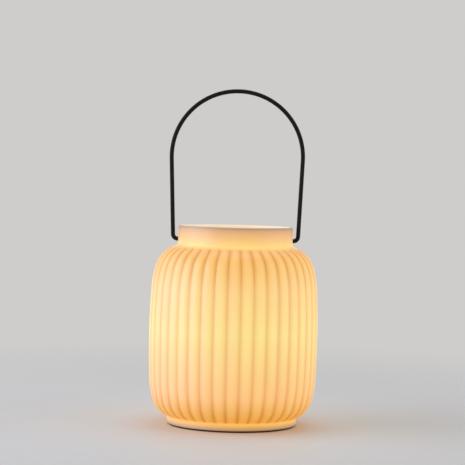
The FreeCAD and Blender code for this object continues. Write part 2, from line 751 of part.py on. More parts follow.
def centre_contact():
    """Sprung strip from the -X terminal screw to the bulb's centre contact."""
    half = CONTACT_THICKNESS / 2
    return bent_strip(
        [
            (-CONTACT_END_X, INSERT_Z - half),
            (-CENTRE_CONTACT_RISER_X, INSERT_Z - half),
            (-CENTRE_CONTACT_RISER_X, CONTACT_FLOOR_Z + half),
            (-CONTACT_BUTTON_RADIUS - CONTACT_SPRING_RISE, CONTACT_FLOOR_Z + half),
            (-CONTACT_BUTTON_RADIUS / 2, BULB_TIP_Z - half),
            (CONTACT_BUTTON_RADIUS, BULB_TIP_Z - half),
        ]
    ).cut(terminal_screw_shank(-1))


def side_contact():
    """Strip from the +X terminal screw up to the lower edge of the screw shell."""
    half = CONTACT_THICKNESS / 2
    riser_x = SHELL_BORE + CONTACT_THICKNESS
    return bent_strip(
        [
            (riser_x, SHELL_Z),
            (riser_x, INSERT_Z - half),
            (CONTACT_END_X, INSERT_Z - half),
        ]
    ).cut(terminal_screw_shank(1))


def terminal_screw_shank(side):
    """Shank of a terminal screw, through the contact strip and up into the insert."""
    place = Vector(side * TERMINAL_X, 0, INSERT_Z - CONTACT_THICKNESS)
    return Part.makeCylinder(TERMINAL_SCREW_SHANK_RADIUS, TERMINAL_SCREW_SHANK_LENGTH, place)


def terminal_screw(side):
    """Slotted screw that clamps a cable core against a contact strip."""
    head_top_z = INSERT_Z - CONTACT_THICKNESS
    head_z = head_top_z - TERMINAL_SCREW_HEAD_HEIGHT
    place = Vector(side * TERMINAL_X, 0, head_z)
    head = Part.makeCylinder(TERMINAL_SCREW_HEAD_RADIUS, TERMINAL_SCREW_HEAD_HEIGHT, place)
    slot = box_between(
        (side * TERMINAL_X - TERMINAL_SCREW_HEAD_RADIUS, -SCREW_SLOT_WIDTH / 2, head_z),
        (side * TERMINAL_X + TERMINAL_SCREW_HEAD_RADIUS, SCREW_SLOT_WIDTH / 2, head_z + SCREW_SLOT_DEPTH),
    )
    return head.fuse(terminal_screw_shank(side)).cut(slot)


def holder_insert():
    """Moulded core of the lampholder, a cup that carries the shell, contacts and screws."""
    radius = CAP_BORE - INSERT_CLEARANCE
    bore = SHELL_RADIUS + SHELL_CLEARANCE
    core = turned_outline(
        (0, INSERT_Z),
        (radius, INSERT_Z),
        (radius, INSERT_TOP_Z),
        (bore, INSERT_TOP_Z),
        (bore, CONTACT_FLOOR_Z),
        (0, CONTACT_FLOOR_Z),
    )
    shanks = [terminal_screw_shank(side) for side in (-1, 1)]
    return core.cut([centre_contact(), side_contact()] + shanks)


# ---------------------------------------------------------------- bulb

def bulb_tip_contact():
    """Metal button at the bottom of the bulb's cap."""
    flat = (CONTACT_BUTTON_RADIUS - CONTACT_BUTTON_ROUND, BULB_TIP_Z)
    side = (CONTACT_BUTTON_RADIUS, BULB_TIP_Z + CONTACT_BUTTON_ROUND)
    return turned(
        [line((0, BULB_TIP_Z), flat)]
        + [round_corner(flat, (CONTACT_BUTTON_RADIUS, BULB_TIP_Z), side)]
        + lines(side, (CONTACT_BUTTON_RADIUS, INSULATOR_Z), (0, INSULATOR_Z), (0, BULB_TIP_Z))
    )


def bulb_insulator():
    """Insulating cone between the button and the screw cap."""
    return turned_outline(
        (0, INSULATOR_Z),
        (INSULATOR_TIP_RADIUS, INSULATOR_Z),
        (INSULATOR_RADIUS, SCREW_CAP_Z),
        (0, SCREW_CAP_Z),
    )


def bulb_screw_cap():
    """Thin metal cap with the bulb's thread."""
    root = SCREW_CAP_RADIUS - THREAD_DEPTH
    bore = root - SCREW_CAP_WALL
    thread_z = SCREW_CAP_Z + SCREW_CAP_TAPER
    outer_wall, thread_top = thread_wave(root, thread_z)
    skirt_z = thread_top[1] + THREAD_DEPTH
    return turned(
        [line((INSULATOR_RADIUS, SCREW_CAP_Z), (root, thread_z))]
        + outer_wall
        + lines(
            thread_top,
            (SCREW_CAP_RADIUS, skirt_z),
            (SCREW_CAP_RADIUS, HOLDER_RIM_Z),
            (bore, HOLDER_RIM_Z),
            (bore, thread_z),
            (INSULATOR_RADIUS - SCREW_CAP_WALL, SCREW_CAP_Z),
            (INSULATOR_RADIUS, SCREW_CAP_Z),
        )
    )


def bulb_housing():
    """Flared plastic body between the screw cap and the globe, with a seat for the board."""
    plug_radius = SCREW_CAP_RADIUS - THREAD_DEPTH - SCREW_CAP_WALL
    plug_z = HOLDER_RIM_Z - HOUSING_PLUG
    top = (GLOBE_OPENING_RADIUS, GLOBE_OPENING_Z)
    globe_heading = math.atan2(-GLOBE_OPENING_RADIUS, -GLOBE_OPENING_DROP)
    collar = (HOUSING_COLLAR_RADIUS, HOLDER_RIM_Z)
    seat_radius = GLOBE_OPENING_RADIUS - HOUSING_WALL
    return turned(
        [OutlineArc(top, globe_heading, collar).edge()]
        + lines(
            collar,
            (plug_radius, HOLDER_RIM_Z),
            (plug_radius, plug_z),
            (plug_radius - HOUSING_WALL, plug_z),
            (plug_radius - HOUSING_WALL, HOLDER_RIM_Z),
            (HOUSING_COLLAR_RADIUS - HOUSING_WALL, HOLDER_RIM_Z + HOUSING_WALL),
            (seat_radius - LED_BOARD_SEAT_WIDTH, LED_BOARD_Z),
            (seat_radius, LED_BOARD_Z),
            (seat_radius, GLOBE_OPENING_Z),
            top,
        )
    )


def bulb_globe():
    """Opal globe, open at the bottom where it sits on the housing."""
    inner_radius = GLOBE_RADIUS - GLOBE_WALL
    inner_opening = math.sqrt(inner_radius ** 2 - GLOBE_OPENING_DROP ** 2)
    outer_bottom = (GLOBE_OPENING_RADIUS, GLOBE_OPENING_Z)
    inner_bottom = (inner_opening, GLOBE_OPENING_Z)
    outer_top = (0, GLOBE_Z + GLOBE_RADIUS)
    inner_top = (0, GLOBE_Z + inner_radius)
    return turned(
        [
            arc(outer_bottom, (GLOBE_RADIUS, GLOBE_Z), outer_top),
            line(outer_top, inner_top),
            arc(inner_top, (inner_radius, GLOBE_Z), inner_bottom),
            line(inner_bottom, outer_bottom),
        ]
    )


def led_board():
    """Round metal board that carries the light sources."""
    radius = GLOBE_OPENING_RADIUS - HOUSING_WALL - LED_BOARD_CLEARANCE
    return disc(radius, LED_BOARD_THICKNESS, LED_BOARD_Z)


def led_chips():
    """Ring of small light sources on the board."""
    half = LED_SIZE / 2
    bottom_z = LED_BOARD_Z + LED_BOARD_THICKNESS
    chips = []
    for index in range(LED_COUNT):
        low = (LED_RING_RADIUS - half, -half, bottom_z)
        chip = box_between(low, (LED_RING_RADIUS + half, half, bottom_z + LED_HEIGHT))
        chip.rotate(Vector(0, 0, 0), Vector(0, 0, 1), 360 * index / LED_COUNT)
        chips.append(chip)
    return Part.makeCompound(chips)


def driver_board():
    """Upright circuit board under the round board, with one large capacitor."""
    top_z = LED_BOARD_Z
    half_width = DRIVER_WIDTH / 2
    half_thickness = DRIVER_THICKNESS / 2
    board = box_between(
        (-half_thickness, -half_width, top_z - DRIVER_HEIGHT),
        (half_thickness, half_width, top_z),
    )
    capacitor_z = top_z - CAPACITOR_DROP - CAPACITOR_LENGTH
    place = Vector(half_thickness + CAPACITOR_RADIUS - half_thickness / 2, 0, capacitor_z)
    return board.fuse(Part.makeCylinder(CAPACITOR_RADIUS, CAPACITOR_LENGTH, place))


# ---------------------------------------------------------------- one file per piece

PIECES = {
    "porcelain_shade": porcelain_shade(),
    "base_pad": base_pad(),
    "cable_grommet": cable_grommet(),
    "bail_handle": bail_handle(),
    "bail_bush_right": bail_bush(),
    "bail_bush_left": on_other_side(bail_bush()),
    "bail_end_cap_right": bail_end_cap(),
    "bail_end_cap_left": on_other_side(bail_end_cap()),
    "threaded_nipple": threaded_nipple(),
    "nipple_nut": nipple_nut(),
    "lock_washer": lock_washer(),
    "clamp_washer": clamp_washer(),
    "floor_washer": floor_washer(),
    "holder_cap": holder_cap(),
    "holder_insert": holder_insert(),
    "holder_sleeve": holder_sleeve(),
    "thread_shell": thread_shell(),
    "centre_contact": centre_contact(),
    "side_contact": side_contact(),
    "terminal_screw_left": terminal_screw(-1),
    "terminal_screw_right": terminal_screw(1),
    "bulb_tip_contact": bulb_tip_contact(),
    "bulb_insulator": bulb_insulator(),
    "bulb_screw_cap": bulb_screw_cap(),
    "bulb_housing": bulb_housing(),
    "bulb_globe": bulb_globe(),
    "led_board": led_board(),
    "led_chips": led_chips(),
    "driver_board": driver_board(),
}

os.makedirs("parts", exist_ok=True)
for node, shape in PIECES.items():
    shape.exportStep(f"parts/{node}.step")
    print(f"{node}: {len(shape.Solids)} solid(s), {shape.Volume:.1f} mm3, valid {shape.isValid()}")
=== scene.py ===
"""Looks of the lit lantern table lamp: a ribbed porcelain shade with a wire carrying handle."""

import bmesh
import bpy
import math

from mathutils import Matrix, Vector


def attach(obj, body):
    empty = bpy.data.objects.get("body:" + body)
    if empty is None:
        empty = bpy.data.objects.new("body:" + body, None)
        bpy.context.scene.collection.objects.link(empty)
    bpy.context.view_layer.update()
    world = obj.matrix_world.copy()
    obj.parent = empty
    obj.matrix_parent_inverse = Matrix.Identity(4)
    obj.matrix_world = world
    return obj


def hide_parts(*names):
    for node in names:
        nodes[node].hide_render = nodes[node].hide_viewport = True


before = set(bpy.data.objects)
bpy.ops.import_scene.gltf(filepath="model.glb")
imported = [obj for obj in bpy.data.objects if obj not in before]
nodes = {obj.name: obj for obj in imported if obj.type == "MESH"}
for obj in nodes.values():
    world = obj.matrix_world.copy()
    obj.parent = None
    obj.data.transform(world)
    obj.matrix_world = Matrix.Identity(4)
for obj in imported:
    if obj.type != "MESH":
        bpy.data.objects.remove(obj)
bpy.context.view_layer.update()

MM = 0.001

# ---------------------------------------------------------------- sizes, in millimetres

# Shade: outline over the crests of the ribs, and its ribs
FOOT_Z = 1.5
FOOT_RADIUS = 61.5
FOOT_BORE = 56.5
FOOT_EDGE_ROUND = 1.2
RIB_END_Z = 8.4
FOOT_BLEND = 0.8
WAIST_RADIUS = 80.0
WAIST_Z = 89.4
NECK_Z = 170.0
NECK_RADIUS = 54.4
NECK_BLEND = 1.0
NECK_BORE = 50.2
NECK_INSIDE_BLEND = 4.0
RIM_Z = 188.5
LIP_ROUND = 1.5
WALL = 4.7
FLOOR_Z = 18.5
FLOOR_UNDERSIDE_Z = 14.0
FLOOR_CORNER_ROUND = 1.6
FLOOR_HOLE_RADIUS = 5.4
UPPER_OUTLINE = [
    (WAIST_RADIUS, WAIST_Z),
    (78.7, 130.0),
    (75.3, 149.5),
    (NECK_RADIUS + NECK_BLEND, NECK_Z),
]
LOWER_OUTLINE = [
    (WAIST_RADIUS, WAIST_Z),
    (79.2, 46.0),
    (75.9, 24.0),
    (FOOT_RADIUS + FOOT_BLEND, RIB_END_Z),
]
RIB_COUNT = 40
RIB_DEPTH = 1.1
RIB_FADE_TOP = 7.0
RIB_FADE_FOOT = 2.5
GROOVE_SOFTNESS = 0.10
FLOOR_HOLE_EDGE_ROUND = 0.6
UNDERSIDE_CORNER_ROUND = 1.5
BORE_EDGE_ROUND = 0.6
BORE_EDGE_MIDDLE = 0.2

# Heights of the outer blends, as multiples of their widths
FOOT_BLEND_DROP = 1.35
NECK_BLEND_RISE = 1.25

# Rings and points of the shade's mesh
POINTS_PER_RIB = 12
BEND_SPACING = 1.2
SIDE_SPACING = 3.0
INSIDE_BEND_SPACING = 2.0
INSIDE_SPACING = 8.0
FEWEST_OUTSIDE_RINGS = 4
FEWEST_INSIDE_RINGS = 3
LOWEST_RIBBED_STEP = 0.5
BLEND_STEPS = 6
CORNER_STEPS = 6
HOLE_EDGE_STEPS = 3
UNDERSIDE_CORNER_STEPS = 4
FOOT_SIDE_HEIGHTS = (3.6, 4.8, 6.0)
NECK_SIDE_HEIGHTS = (173, 176, 179, 182, 185)
NECK_BORE_HEIGHTS = (184, 181, 178, 175)
FOOT_BORE_HEIGHTS = (8.0, 3.0)
FLOOR_RADII = (50, 30, 15, 8)
UNDERSIDE_RADII = (15, 35)
FLOOR_MIDDLE_RADIUS = 15
FLOOR_CORNER_RISE = 2.2
FLOOR_CORNER_STEP = 1.6

# Openings in the shade
PIVOT_Z = 175.5
BUSH_RADIUS = 3.25
BUSH_SIDES = 48
INLET_HALF_WIDTH = 3.5
INLET_TOP_Z = 8.5
INLET_CORNER_ROUND = 1.2
INLET_CUT_START_Y = 52
INLET_CUT_LENGTH = 14

# Wire handle
WIRE_RADIUS = 2.0
WIRE_END_X = 45.4
HANDLE_CORNER_X = 59.2
HANDLE_BEND_RADIUS = 4.4
HANDLE_ARCH_RADIUS = 62.2
HANDLE_ARCH_Z = 254.1
WIRE_SIDES = 32
WIRE_END_STEP = 0.3
WIRE_BEND_LEAD = 1.0
WIRE_BEND_STEPS = 14
WIRE_LEG_STEPS = 10
WIRE_ARCH_STEPS = 48

# ---------------------------------------------------------------- camera

CAMERA_PLACE = Vector((-0.004, -1.7, 0.232))
CAMERA_PITCH = math.radians(1.67)
CAMERA_YAW = math.radians(0.036)
CAMERA_ROLL = math.radians(1.335)
FOCAL_PIXELS = 1791.9
PHOTO_PIXELS = 465
SENSOR_WIDTH = 36.0


def add_camera():
    """Camera at the photo's viewing angle, slightly above the rim and far away."""
    data = bpy.data.cameras.new("camera")
    data.sensor_width = SENSOR_WIDTH
    data.lens = FOCAL_PIXELS / PHOTO_PIXELS * SENSOR_WIDTH
    camera = bpy.data.objects.new("camera", data)
    bpy.context.scene.collection.objects.link(camera)
    turn = (
        Matrix.Rotation(-CAMERA_YAW, 4, "Z")
        @ Matrix.Rotation(math.pi / 2 - CAMERA_PITCH, 4, "X")
        @ Matrix.Rotation(CAMERA_ROLL, 4, "Z")
    )
    camera.matrix_world = Matrix.Translation(CAMERA_PLACE) @ turn
    bpy.context.scene.camera = camera


# ---------------------------------------------------------------- material helpers

# Height of the finest bumps, in metres
FINE_RELIEF = 0.00002


def srgb(red, green, blue):
    """Linear colour from screen values of 0 to 255."""
    def linear(value):
        value /= 255
        return value / 12.92 if value <= 0.04045 else ((value + 0.055) / 1.055) ** 2.4
    return (linear(red), linear(green), linear(blue), 1.0)


def new_material(name):
    """Material with a Principled shader, and its node tree and shader node."""
    material = bpy.data.materials.new(name)
    material.use_nodes = True
    tree = material.node_tree
    return material, tree, tree.nodes["Principled BSDF"]


def math_node(tree, operation, *values):
    """Output of a Math node whose inputs are numbers or other outputs."""
    node = tree.nodes.new("ShaderNodeMath")
    node.operation = operation
    for socket, value in zip(node.inputs, values):
        if isinstance(value, (int, float)):
            socket.default_value = value
        else:
            tree.links.new(value, socket)
    return node.outputs[0]


def place_of(tree):
    """X, Y and Z outputs of the point in the object's own space, in metres."""
    coordinates = tree.nodes.new("ShaderNodeTexCoord")
    split = tree.nodes.new("ShaderNodeSeparateXYZ")
    tree.links.new(coordinates.outputs["Object"], split.inputs[0])
    return split.outputs


def step_between(tree, value, low, high):
    """Smooth step from 0 at low to 1 at high."""
    node = tree.nodes.new("ShaderNodeMapRange")
    node.interpolation_type = "SMOOTHSTEP"
    tree.links.new(value, node.inputs["Value"])
    node.inputs["From Min"].default_value = low
    node.inputs["From Max"].default_value = high
    return node.outputs[0]


def noise(tree, scale, detail=2.0, roughness=0.5, stretch=(1, 1, 1)):
    """Noise value in the object's own space; scale counts features per metre."""
    coordinates = tree.nodes.new("ShaderNodeTexCoord")
    mapping = tree.nodes.new("ShaderNodeMapping")
    mapping.inputs["Scale"].default_value = stretch
    node = tree.nodes.new("ShaderNodeTexNoise")
    node.inputs["Scale"].default_value = scale
    node.inputs["Detail"].default_value = detail
    node.inputs["Roughness"].default_value = roughness
    tree.links.new(coordinates.outputs["Object"], mapping.inputs["Vector"])
    tree.links.new(mapping.outputs["Vector"], node.inputs["Vector"])
    return node.outputs["Fac"]


def ramp(tree, value, stops):
    """Colour ramp over a value of 0 to 1, from (position, colour) stops."""
    node = tree.nodes.new("ShaderNodeValToRGB")
    elements = node.color_ramp.elements
    while len(elements) < len(stops):
        elements.new(0.5)
    for element, (position, colour) in zip(elements, stops):
        element.position = position
        element.color = colour
    tree.links.new(value, node.inputs["Fac"])
    return node.outputs["Color"]


def mix(tree, factor, first, second, blend="MIX"):
    """Mixed colour; the factor and both colours are values or outputs."""
    node = tree.nodes.new("ShaderNodeMix")
    node.data_type = "RGBA"
    node.blend_type = blend
    for socket, value in ((node.inputs[0], factor), (node.inputs[6], first), (node.inputs[7], second)):
        if isinstance(value, (int, float, tuple)):
            socket.default_value = value
        else:
            tree.links.new(value, socket)
    return node.outputs[2]


def multiplied(tree, first, second):
    """Product of two colours, each a value or an output."""
    return mix(tree, 1.0, first, second, "MULTIPLY")


def varied(tree, value, low, high):
    """Value of 0 to 1 spread over low to high."""
    node = tree.nodes.new("ShaderNodeMapRange")
    tree.links.new(value, node.inputs["Value"])
    node.inputs["To Min"].default_value = low
    node.inputs["To Max"].default_value = high
    return node.outputs[0]


def uneven_roughness(tree, shader, value, low, high):
    """Roughness of a shader that runs from low to high with a value of 0 to 1."""
    tree.links.new(varied(tree, value, low, high), shader.inputs["Roughness"])


def shine(tree, shader, colour):
    """Emission of a colour at strength 1."""
    tree.links.new(colour, shader.inputs["Emission Color"])
    shader.inputs["Emission Strength"].default_value = 1.0


def bump(tree, shader, height, distance):
    """Bump on a shader from a height value; distance is the height of 1 in metres."""
    node = tree.nodes.new("ShaderNodeBump")
    node.inputs["Distance"].default_value = distance
    node.inputs["Strength"].default_value = 1.0
    tree.links.new(height, node.inputs["Height"])
    tree.links.new(node.outputs["Normal"], shader.inputs["Normal"])


# ---------------------------------------------------------------- porcelain

def height_share(tree, z):
    """Height as a share of the rim's height."""
    return math_node(tree, "DIVIDE", z, RIM_Z * MM)


def at(height):
    """Ramp position of a height in millimetres."""
    return height / RIM_Z


def height_step(tree, z, span):
    """Smooth step from 0 at a span's first height to 1 at its second, in millimetres."""
    start, end = span
    return step_between(tree, z, start * MM, end * MM)


WHITE = (1.0, 1.0, 1.0, 1.0)
GLAZE = (0.42, 0.32, 0.34, 1.0)
PLAIN_GLAZE = (0.42, 0.345, 0.265, 1.0)
# Darker at the heel: painted shade where the wall faces down
SHADED_HEEL_GLAZE = (0.34, 0.27, 0.14, 1.0)
SHOULDER_GLAZE = (0.39, 0.32, 0.22, 1.0)
# Painted light: the bulb's light through the wall as a glow by height, with painted shade towards the
# foot and the lip
GLOW_BY_HEIGHT = [
    (at(1.5), (0.14, 0.06, 0.008, 1.0)),
    (at(7.5), (0.75, 0.37, 0.016, 1.0)),
    (at(10.5), (0.64, 0.245, 0.003, 1.0)),
    (at(32.0), (0.75, 0.395, 0.018, 1.0)),
    (at(90.0), (0.75, 0.59, 0.082, 1.0)),
    (at(130.0), (0.76, 0.505, 0.050, 1.0)),
    (at(161.0), (0.73, 0.345, 0.010, 1.0)),
    (at(167.5), (0.65, 0.28, 0.005, 1.0)),
    (at(170.5), (0.74, 0.50, 0.060, 1.0)),
    (at(174.0), (0.71, 0.43, 0.062, 1.0)),
    (at(181.0), (0.61, 0.28, 0.036, 1.0)),
    (at(185.5), (0.44, 0.19, 0.024, 1.0)),
    (at(187.5), (0.16, 0.06, 0.006, 1.0)),
    (at(188.4), (0.30, 0.17, 0.070, 1.0)),
]
# Painted shade in the grooves, deeper towards the shoulder and the heel
GROOVE_SHADE = (0.86, 0.69, 0.60, 1.0)
DEEP_GROOVE_SHADE = (0.72, 0.56, 0.20, 1.0)
GROOVE_NARROWING = 2.6
STREAK_STRETCH = (1, 1, 0.10)
STREAKS = [
    (0.36, (1.0, 0.94, 0.92, 1)),
    (0.5, (1.0, 0.985, 0.95, 1)),
    (0.64, (1.0, 1.0, 0.86, 1)),
]
# Painted light: the bulb's light on the inside, by height, with painted shade on the floor under the
# bulb
GLOW_INSIDE_BY_HEIGHT = [
    (at(1.5), (0.10, 0.05, 0.01, 1.0)),
    (at(14.0), (0.30, 0.16, 0.05, 1.0)),
    (at(20.0), (0.44, 0.26, 0.08, 1.0)),
    (at(60.0), (0.60, 0.43, 0.17, 1.0)),
    (at(100.0), (0.68, 0.53, 0.25, 1.0)),
    (at(150.0), (0.60, 0.42, 0.18, 1.0)),
    (at(172.0), (0.46, 0.33, 0.17, 1.0)),
    (at(186.0), (0.52, 0.42, 0.29, 1.0)),
]
INSIDE_GLAZE = (0.52, 0.47, 0.38, 1.0)

# Height of the glaze's ripple, in metres
GLAZE_RIPPLE = 0.00012

# Spans of height over which a colour comes in, from none to full, in millimetres
RIBS_BELOW_NECK = (169.4, 165.5)
RIBS_ABOVE_FOOT = (8.2, 9.6)
DEEP_GROOVES_UP = (125, 160)
DEEP_GROOVES_DOWN = (40, 10)
HEEL_SHADE_DOWN = (36, 12)
SHOULDER_GLAZE_UP = (126, 162)
GLOBE_GLOW_UP = (76, 109)


def mottle(tree):
    """Slow unevenness of the porcelain's brightness, about 1."""
    return varied(tree, noise(tree, 28, detail=3.0, roughness=0.55), 0.95, 1.05)


def glaze_surface(tree, shader, low, high):
    """Uneven gloss between two roughnesses, with the slight ripple of fired glaze."""
    uneven_roughness(tree, shader, noise(tree, 60, detail=4.0), low, high)
    bump(tree, shader, noise(tree, 90, detail=3.0, roughness=0.6), GLAZE_RIPPLE)


def porcelain_outside():
    """Glazed translucent porcelain; the bulb's light through the wall is painted in as a glow, and the
    grooves carry painted shade, darker and warmer.
    """
    material, tree, shader = new_material("porcelain_outside")
    x, y, z = place_of(tree)
    share = height_share(tree, z)
    ribs = math_node(tree, "MULTIPLY", math_node(tree, "ARCTAN2", y, x), RIB_COUNT / math.pi)
    groove = math_node(tree, "POWER", math_node(tree, "PINGPONG", ribs, 1.0), GROOVE_NARROWING)
    below_neck = height_step(tree, z, RIBS_BELOW_NECK)
    above_foot = height_step(tree, z, RIBS_ABOVE_FOOT)
    ribbed = math_node(tree, "MULTIPLY", below_neck, above_foot)
    groove = math_node(tree, "MULTIPLY", groove, ribbed)
    near_shoulder = height_step(tree, z, DEEP_GROOVES_UP)
    near_heel = height_step(tree, z, DEEP_GROOVES_DOWN)
    ends = math_node(tree, "MAXIMUM", near_shoulder, near_heel)
    shade = mix(tree, ends, GROOVE_SHADE, DEEP_GROOVE_SHADE)
    # Painted shade in the grooves, on both the glow and the base colour
    painted_groove_shade = mix(tree, groove, WHITE, shade)
    streaks = ramp(tree, noise(tree, 70, stretch=STREAK_STRETCH), STREAKS)
    glow = multiplied(tree, ramp(tree, share, GLOW_BY_HEIGHT), painted_groove_shade)
    glow = multiplied(tree, glow, streaks)
    shine(tree, shader, multiplied(tree, glow, mottle(tree)))
    # Painted shade: darker base colour towards the heel
    heel_shade = math_node(tree, "MULTIPLY", height_step(tree, z, HEEL_SHADE_DOWN), ribbed)
    shoulder = math_node(tree, "MULTIPLY", height_step(tree, z, SHOULDER_GLAZE_UP), ribbed)
    glaze = mix(tree, ribbed, PLAIN_GLAZE, GLAZE)
    glaze = mix(tree, shoulder, mix(tree, heel_shade, glaze, SHADED_HEEL_GLAZE), SHOULDER_GLAZE)
    tree.links.new(multiplied(tree, glaze, painted_groove_shade), shader.inputs["Base Color"])
    shader.inputs["Coat Weight"].default_value = 0.25
    shader.inputs["Coat Roughness"].default_value = 0.22
    glaze_surface(tree, shader, 0.34, 0.46)
    return material


def porcelain_inside():
    """The same porcelain inside, glazed, with the bulb's light on it painted in as a glow by height.
    """
    material, tree, shader = new_material("porcelain_inside")
    share = height_share(tree, place_of(tree)[2])
    glow = ramp(tree, share, GLOW_INSIDE_BY_HEIGHT)
    shine(tree, shader, multiplied(tree, glow, mottle(tree)))
    shader.inputs["Base Color"].default_value = INSIDE_GLAZE
    glaze_surface(tree, shader, 0.36, 0.48)
    return material


# ---------------------------------------------------------------- shade's mesh

class OutlineArc:
    """Arc of the half outline that leaves start along a heading and reaches end."""

    def __init__(self, start, heading, end):
        chord = math.atan2(end[1] - start[1], end[0] - start[0])
        self.heading = heading
        self.turn = (2 * (chord - heading) + math.pi) % (2 * math.pi) - math.pi
        self.radius = math.dist(start, end) / (2 * math.sin(self.turn / 2))
        self.centre = (
            start[0] - self.radius * math.sin(heading),
            start[1] + self.radius * math.cos(heading),
        )

    def point(self, share, inset=0.0):
        """Point at a share of the arc's length, moved by inset towards the arc's centre."""
        heading = self.heading + self.turn * share
        reach = self.radius - math.copysign(inset, self.radius)
        return (
            self.centre[0] + reach * math.sin(heading),
            self.centre[1] - reach * math.cos(heading),
        )

    def length(self):
        """Length along the arc."""
        return abs(self.radius * self.turn)


def outline_chain(points, heading):
    """Arcs through the points, each leaving along the heading at which the last one ended."""
    chain = []
    for start, end in zip(points, points[1:]):
        chain.append(OutlineArc(start, heading, end))
        heading += chain[-1].turn
    return chain


def eased(share):
    """Smooth step from 0 to 1."""
    share = max(0.0, min(1.0, share))
    return share * share * (3 - 2 * share)


def corner_round(before, corner, after, radius, steps=CORNER_STEPS):
    """Points of a fillet at a corner between two straight sides."""
    before, corner, after = Vector(before), Vector(corner), Vector(after)
    to_before = (before - corner).normalized()
    to_after = (after - corner).normalized()
    half = to_before.angle(to_after) / 2
    reach = radius / math.tan(half)
    start, end = corner + to_before * reach, corner + to_after * reach
    centre = corner + (to_before + to_after).normalized() * radius / math.sin(half)
    points = []
    for step in range(steps + 1):
        spot = start.lerp(end, step / steps) - centre
        points.append(tuple(centre + spot.normalized() * radius))
    return points


def smooth_groove(phase):
    """Share of the groove's depth at a phase about a crest: 0 at phase 0, 1 at -1 and 1."""
    rise = 1 - abs(phase)
    rise = math.hypot(rise, GROOVE_SOFTNESS) - GROOVE_SOFTNESS
    rise /= math.hypot(1, GROOVE_SOFTNESS) - GROOVE_SOFTNESS
    return (1 - rise) ** 2


def ring_count(outline_arc, bend, bend_spacing, side_spacing, fewest):
    """Number of rings along an arc, which are closer together on the tight bend."""
    spacing = bend_spacing if outline_arc is bend else side_spacing
    return max(fewest, round(outline_arc.length() / spacing))


